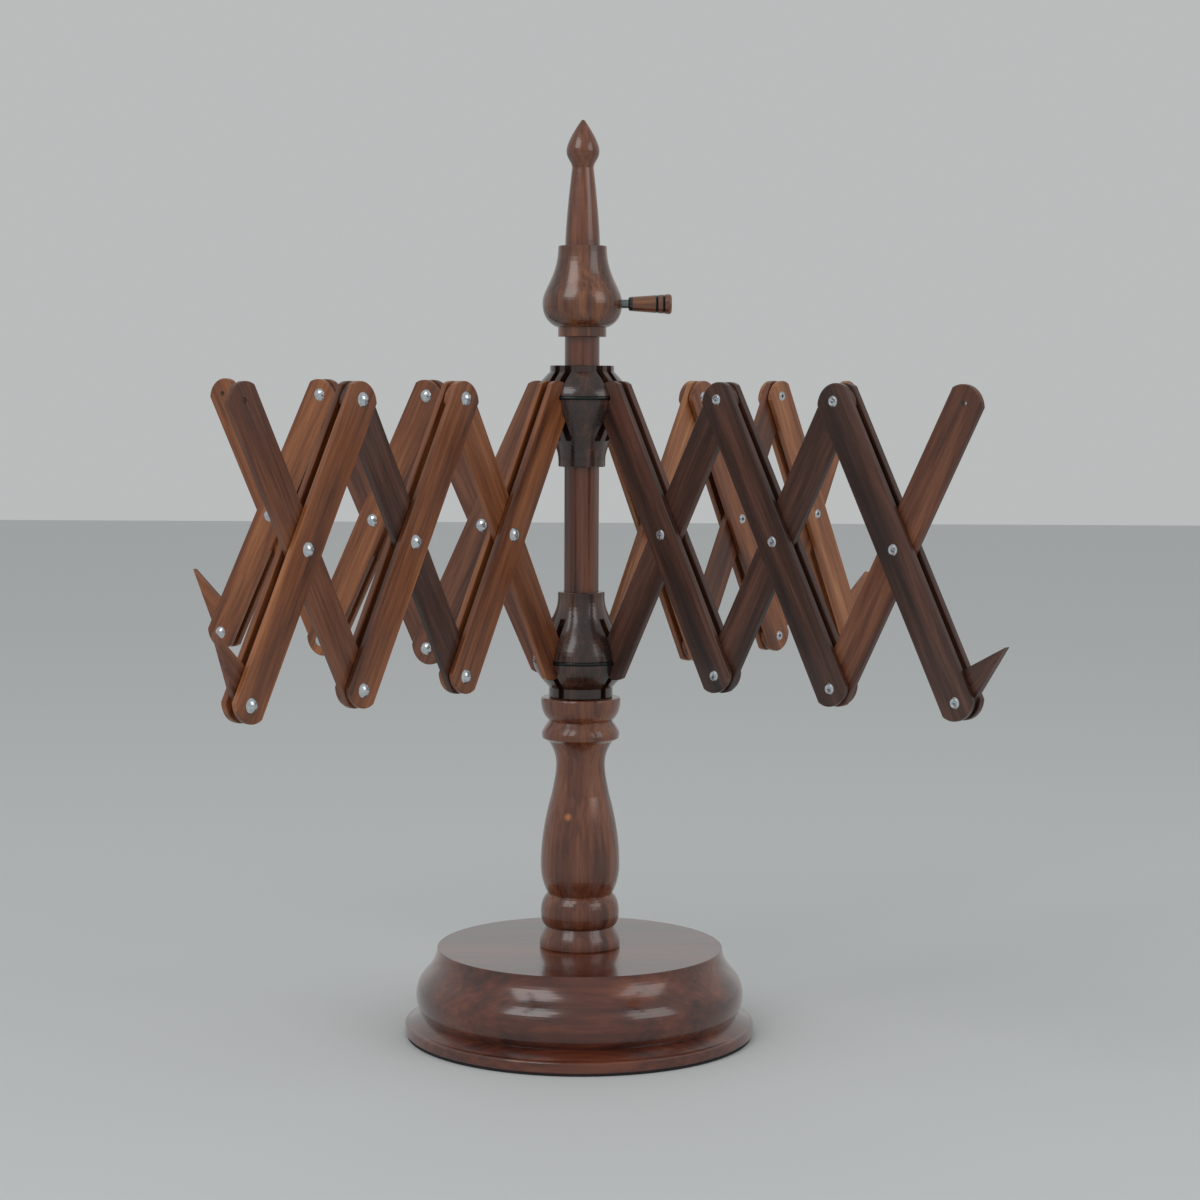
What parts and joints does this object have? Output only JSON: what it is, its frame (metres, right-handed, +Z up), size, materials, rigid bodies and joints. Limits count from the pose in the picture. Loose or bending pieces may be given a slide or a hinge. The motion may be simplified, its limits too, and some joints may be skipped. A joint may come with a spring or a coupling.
{
  "type": "umbrella yarn swift",
  "caption": "Table-top umbrella yarn swift: a turned wooden stand and rod with riveted lazy-tongs arms that open and close on two sliding hubs.",
  "frame": {"origin": "centre of the base's felt underside, on the rod's axis", "axes": "+Z up along the rod, -Y towards the viewer of the picture, +X to the viewer's right"},
  "size_m": [0.5293, 0.5348, 0.6014],
  "materials": {
    "base_wood": "glossy lacquered reddish hardwood with dark figure",
    "turned_wood": "polished turned hardwood",
    "hub_wood": "polished dark turned hardwood",
    "felt": "black felt",
    "wire": "glossy black coated wire",
    "rivet": "polished nickel plate",
    "screw_steel": "zinc plated thread",
    "slat_dark": "satin oiled hardwood, straight grain",
    "slat_brown": "satin oiled hardwood, straight grain",
    "slat_warm": "satin oiled hardwood, straight grain",
    "slat_tan": "satin oiled hardwood, straight grain"
  },
  "bodies": {
    "stand": {"base_disc": "base_wood", "base_felt": "felt", "column": "turned_wood", "rod": "turned_wood"},
    "lower_hub": {"lower_hub": "hub_wood", "lower_pivot_wire": "wire"},
    "upper_hub": {"upper_hub": "hub_wood", "upper_pivot_wire": "wire"},
    "clamp_collar": {"clamp_collar": "turned_wood"},
    "clamp_screw": {"clamp_screw": "screw_steel", "clamp_handle": "turned_wood"},
    "arm_1_inner_1": {"arm_1_inner_slat_1": "slat_dark"},
    "arm_1_outer_1": {"arm_1_outer_pair_1": "slat_dark", "arm_1_rivets_1": "rivet"},
    "arm_1_inner_2": {"arm_1_inner_slat_2": "slat_dark"},
    "arm_1_outer_2": {"arm_1_outer_pair_2": "slat_dark", "arm_1_rivets_2": "rivet"},
    "arm_1_inner_3": {"arm_1_inner_slat_3": "slat_brown"},
    "arm_1_outer_3": {"arm_1_outer_pair_3": "slat_dark", "arm_1_rivets_3": "rivet"},
    "arm_1_spike": {"arm_1_spike": "slat_dark"},
    "arm_2_inner_1": {"arm_2_inner_slat_1": "slat_tan"},
    "arm_2_outer_1": {"arm_2_outer_pair_1": "slat_tan", "arm_2_rivets_1": "rivet"},
    "arm_2_inner_2": {"arm_2_inner_slat_2": "slat_brown"},
    "arm_2_outer_2": {"arm_2_outer_pair_2": "slat_warm", "arm_2_rivets_2": "rivet"},
    "arm_2_inner_3": {"arm_2_inner_slat_3": "slat_warm"},
    "arm_2_outer_3": {"arm_2_outer_pair_3": "slat_tan", "arm_2_rivets_3": "rivet"},
    "arm_2_spike": {"arm_2_spike": "slat_tan"},
    "arm_3_inner_1": {"arm_3_inner_slat_1": "slat_brown"},
    "arm_3_outer_1": {"arm_3_outer_pair_1": "slat_brown", "arm_3_rivets_1": "rivet"},
    "arm_3_inner_2": {"arm_3_inner_slat_2": "slat_brown"},
    "arm_3_outer_2": {"arm_3_outer_pair_2": "slat_warm", "arm_3_rivets_2": "rivet"},
    "arm_3_inner_3": {"arm_3_inner_slat_3": "slat_warm"},
    "arm_3_outer_3": {"arm_3_outer_pair_3": "slat_warm", "arm_3_rivets_3": "rivet"},
    "arm_3_spike": {"arm_3_spike": "slat_warm"},
    "arm_4_inner_1": {"arm_4_inner_slat_1": "slat_warm"},
    "arm_4_outer_1": {"arm_4_outer_pair_1": "slat_warm", "arm_4_rivets_1": "rivet"},
    "arm_4_inner_2": {"arm_4_inner_slat_2": "slat_dark"},
    "arm_4_outer_2": {"arm_4_outer_pair_2": "slat_warm", "arm_4_rivets_2": "rivet"},
    "arm_4_inner_3": {"arm_4_inner_slat_3": "slat_brown"},
    "arm_4_outer_3": {"arm_4_outer_pair_3": "slat_warm", "arm_4_rivets_3": "rivet"},
    "arm_4_spike": {"arm_4_spike": "slat_brown"}
  },
  "joints": [
    {"name": "hub_spin", "type": "hinge", "parent": "stand", "child": "lower_hub", "pos_m": [0, 0, 0.2497], "axis": [0, 0, 1], "continuous": true},
    {"name": "fold", "type": "hinge", "parent": "lower_hub", "child": "arm_1_inner_1", "pos_m": [0.0216, -0.02153, 0.2497], "axis": [0.7059, 0.7083, 0], "range_deg": [-14, 33.4]},
    {"name": "arm_1_cross_rivet_1", "type": "hinge", "parent": "arm_1_inner_1", "child": "arm_1_outer_1", "pos_m": [0.05483, -0.05464, 0.33574], "axis": [0.7059, 0.7083, 0], "range_deg": [-66.8, 28]},
    {"name": "arm_1_low_rivet_1", "type": "hinge", "parent": "arm_1_outer_1", "child": "arm_1_inner_2", "pos_m": [0.08806, -0.08776, 0.2497], "axis": [0.7059, 0.7083, 0], "range_deg": [-28, 66.8]},
    {"name": "arm_1_cross_rivet_2", "type": "hinge", "parent": "arm_1_inner_2", "child": "arm_1_outer_2", "pos_m": [0.12129, -0.12087, 0.33574], "axis": [0.7059, 0.7083, 0], "range_deg": [-66.8, 28]},
    {"name": "arm_1_low_rivet_2", "type": "hinge", "parent": "arm_1_outer_2", "child": "arm_1_inner_3", "pos_m": [0.15452, -0.15398, 0.2497], "axis": [0.7059, 0.7083, 0], "range_deg": [-28, 66.8]},
    {"name": "arm_1_cross_rivet_3", "type": "hinge", "parent": "arm_1_inner_3", "child": "arm_1_outer_3", "pos_m": [0.18775, -0.1871, 0.33574], "axis": [0.7059, 0.7083, 0], "range_deg": [-66.8, 28]},
    {"name": "arm_1_spike_turn", "type": "hinge", "parent": "arm_1_outer_3", "child": "arm_1_spike", "pos_m": [0.22098, -0.22021, 0.2497], "axis": [-0.7059, -0.7083, 0], "range_deg": [-75, 60]},
    {"name": "arm_2_foot_pivot", "type": "hinge", "parent": "lower_hub", "child": "arm_2_inner_1", "pos_m": [0.01915, 0.02374, 0.2497], "axis": [-0.7782, 0.628, 0], "range_deg": [-14, 33.4]},
    {"name": "arm_2_cross_rivet_1", "type": "hinge", "parent": "arm_2_inner_1", "child": "arm_2_outer_1", "pos_m": [0.04861, 0.06025, 0.33574], "axis": [-0.7782, 0.628, 0], "range_deg": [-66.8, 28]},
    {"name": "arm_2_low_rivet_1", "type": "hinge", "parent": "arm_2_outer_1", "child": "arm_2_inner_2", "pos_m": [0.07807, 0.09675, 0.2497], "axis": [-0.7782, 0.628, 0], "range_deg": [-28, 66.8]},
    {"name": "arm_2_cross_rivet_2", "type": "hinge", "parent": "arm_2_inner_2", "child": "arm_2_outer_2", "pos_m": [0.10753, 0.13326, 0.33574], "axis": [-0.7782, 0.628, 0], "range_deg": [-66.8, 28]},
    {"name": "arm_2_low_rivet_2", "type": "hinge", "parent": "arm_2_outer_2", "child": "arm_2_inner_3", "pos_m": [0.13699, 0.16977, 0.2497], "axis": [-0.7782, 0.628, 0], "range_deg": [-28, 66.8]},
    {"name": "arm_2_cross_rivet_3", "type": "hinge", "parent": "arm_2_inner_3", "child": "arm_2_outer_3", "pos_m": [0.16645, 0.20628, 0.33574], "axis": [-0.7782, 0.628, 0], "range_deg": [-66.8, 28]},
    {"name": "arm_2_spike_turn", "type": "hinge", "parent": "arm_2_outer_3", "child": "arm_2_spike", "pos_m": [0.19591, 0.24279, 0.2497], "axis": [0.7782, -0.628, 0], "range_deg": [-75, 60]},
    {"name": "arm_3_foot_pivot", "type": "hinge", "parent": "lower_hub", "child": "arm_3_inner_1", "pos_m": [-0.02526, 0.0171, 0.2497], "axis": [-0.5606, -0.8281, 0], "range_deg": [-14, 33.4]},
    {"name": "arm_3_cross_rivet_1", "type": "hinge", "parent": "arm_3_inner_1", "child": "arm_3_outer_1", "pos_m": [-0.0641, 0.0434, 0.33574], "axis": [-0.5606, -0.8281, 0], "range_deg": [-66.8, 28]},
    {"name": "arm_3_low_rivet_1", "type": "hinge", "parent": "arm_3_outer_1", "child": "arm_3_inner_2", "pos_m": [-0.10295, 0.0697, 0.2497], "axis": [-0.5606, -0.8281, 0], "range_deg": [-28, 66.8]},
    {"name": "arm_3_cross_rivet_2", "type": "hinge", "parent": "arm_3_inner_2", "child": "arm_3_outer_2", "pos_m": [-0.14179, 0.096, 0.33574], "axis": [-0.5606, -0.8281, 0], "range_deg": [-66.8, 28]},
    {"name": "arm_3_low_rivet_2", "type": "hinge", "parent": "arm_3_outer_2", "child": "arm_3_inner_3", "pos_m": [-0.18064, 0.1223, 0.2497], "axis": [-0.5606, -0.8281, 0], "range_deg": [-28, 66.8]},
    {"name": "arm_3_cross_rivet_3", "type": "hinge", "parent": "arm_3_inner_3", "child": "arm_3_outer_3", "pos_m": [-0.21948, 0.1486, 0.33574], "axis": [-0.5606, -0.8281, 0], "range_deg": [-66.8, 28]},
    {"name": "arm_3_spike_turn", "type": "hinge", "parent": "arm_3_outer_3", "child": "arm_3_spike", "pos_m": [-0.25833, 0.1749, 0.2497], "axis": [0.5606, 0.8281, 0], "range_deg": [-75, 60]},
    {"name": "arm_4_foot_pivot", "type": "hinge", "parent": "lower_hub", "child": "arm_4_inner_1", "pos_m": [-0.01848, -0.02426, 0.2497], "axis": [0.7955, -0.606, 0], "range_deg": [-14, 33.4]},
    {"name": "arm_4_cross_rivet_1", "type": "hinge", "parent": "arm_4_inner_1", "child": "arm_4_outer_1", "pos_m": [-0.04691, -0.06158, 0.33574], "axis": [0.7955, -0.606, 0], "range_deg": [-66.8, 28]},
    {"name": "arm_4_low_rivet_1", "type": "hinge", "parent": "arm_4_outer_1", "child": "arm_4_inner_2", "pos_m": [-0.07534, -0.0989, 0.2497], "axis": [0.7955, -0.606, 0], "range_deg": [-28, 66.8]},
    {"name": "arm_4_cross_rivet_2", "type": "hinge", "parent": "arm_4_inner_2", "child": "arm_4_outer_2", "pos_m": [-0.10377, -0.13621, 0.33574], "axis": [0.7955, -0.606, 0], "range_deg": [-66.8, 28]},
    {"name": "arm_4_low_rivet_2", "type": "hinge", "parent": "arm_4_outer_2", "child": "arm_4_inner_3", "pos_m": [-0.13219, -0.17353, 0.2497], "axis": [0.7955, -0.606, 0], "range_deg": [-28, 66.8]},
    {"name": "arm_4_cross_rivet_3", "type": "hinge", "parent": "arm_4_inner_3", "child": "arm_4_outer_3", "pos_m": [-0.16062, -0.21085, 0.33574], "axis": [0.7955, -0.606, 0], "range_deg": [-66.8, 28]},
    {"name": "arm_4_spike_turn", "type": "hinge", "parent": "arm_4_outer_3", "child": "arm_4_spike", "pos_m": [-0.18905, -0.24816, 0.2497], "axis": [-0.7955, 0.606, 0], "range_deg": [-75, 60]},
    {"name": "upper_hub_pivot", "type": "hinge", "parent": "arm_1_outer_1", "child": "upper_hub", "pos_m": [0.0216, -0.02153, 0.42178], "axis": [0.7059, 0.7083, 0], "range_deg": [-14, 33.4]},
    {"name": "collar_slide", "type": "slide", "parent": "stand", "child": "clamp_collar", "axis": [0, 0, 1], "range_m": [0, 0.034]},
    {"name": "clamp_screw_turn", "type": "hinge", "parent": "clamp_collar", "child": "clamp_screw", "pos_m": [0.026, 0, 0.48278], "axis": [1, 0, 0], "range_deg": [0, 720]}
  ],
  "couplings": [
    {"joint": "arm_1_cross_rivet_1", "follows": "fold", "ratio": -2},
    {"joint": "arm_1_low_rivet_1", "follows": "fold", "ratio": 2},
    {"joint": "arm_1_cross_rivet_2", "follows": "fold", "ratio": -2},
    {"joint": "arm_1_low_rivet_2", "follows": "fold", "ratio": 2},
    {"joint": "arm_1_cross_rivet_3", "follows": "fold", "ratio": -2},
    {"joint": "arm_2_foot_pivot", "follows": "fold", "ratio": 1},
    {"joint": "arm_2_cross_rivet_1", "follows": "fold", "ratio": -2},
    {"joint": "arm_2_low_rivet_1", "follows": "fold", "ratio": 2},
    {"joint": "arm_2_cross_rivet_2", "follows": "fold", "ratio": -2},
    {"joint": "arm_2_low_rivet_2", "follows": "fold", "ratio": 2},
    {"joint": "arm_2_cross_rivet_3", "follows": "fold", "ratio": -2},
    {"joint": "arm_3_foot_pivot", "follows": "fold", "ratio": 1},
    {"joint": "arm_3_cross_rivet_1", "follows": "fold", "ratio": -2},
    {"joint": "arm_3_low_rivet_1", "follows": "fold", "ratio": 2},
    {"joint": "arm_3_cross_rivet_2", "follows": "fold", "ratio": -2},
    {"joint": "arm_3_low_rivet_2", "follows": "fold", "ratio": 2},
    {"joint": "arm_3_cross_rivet_3", "follows": "fold", "ratio": -2},
    {"joint": "arm_4_foot_pivot", "follows": "fold", "ratio": 1},
    {"joint": "arm_4_cross_rivet_1", "follows": "fold", "ratio": -2},
    {"joint": "arm_4_low_rivet_1", "follows": "fold", "ratio": 2},
    {"joint": "arm_4_cross_rivet_2", "follows": "fold", "ratio": -2},
    {"joint": "arm_4_low_rivet_2", "follows": "fold", "ratio": 2},
    {"joint": "arm_4_cross_rivet_3", "follows": "fold", "ratio": -2},
    {"joint": "upper_hub_pivot", "follows": "fold", "ratio": 1}
  ]
}
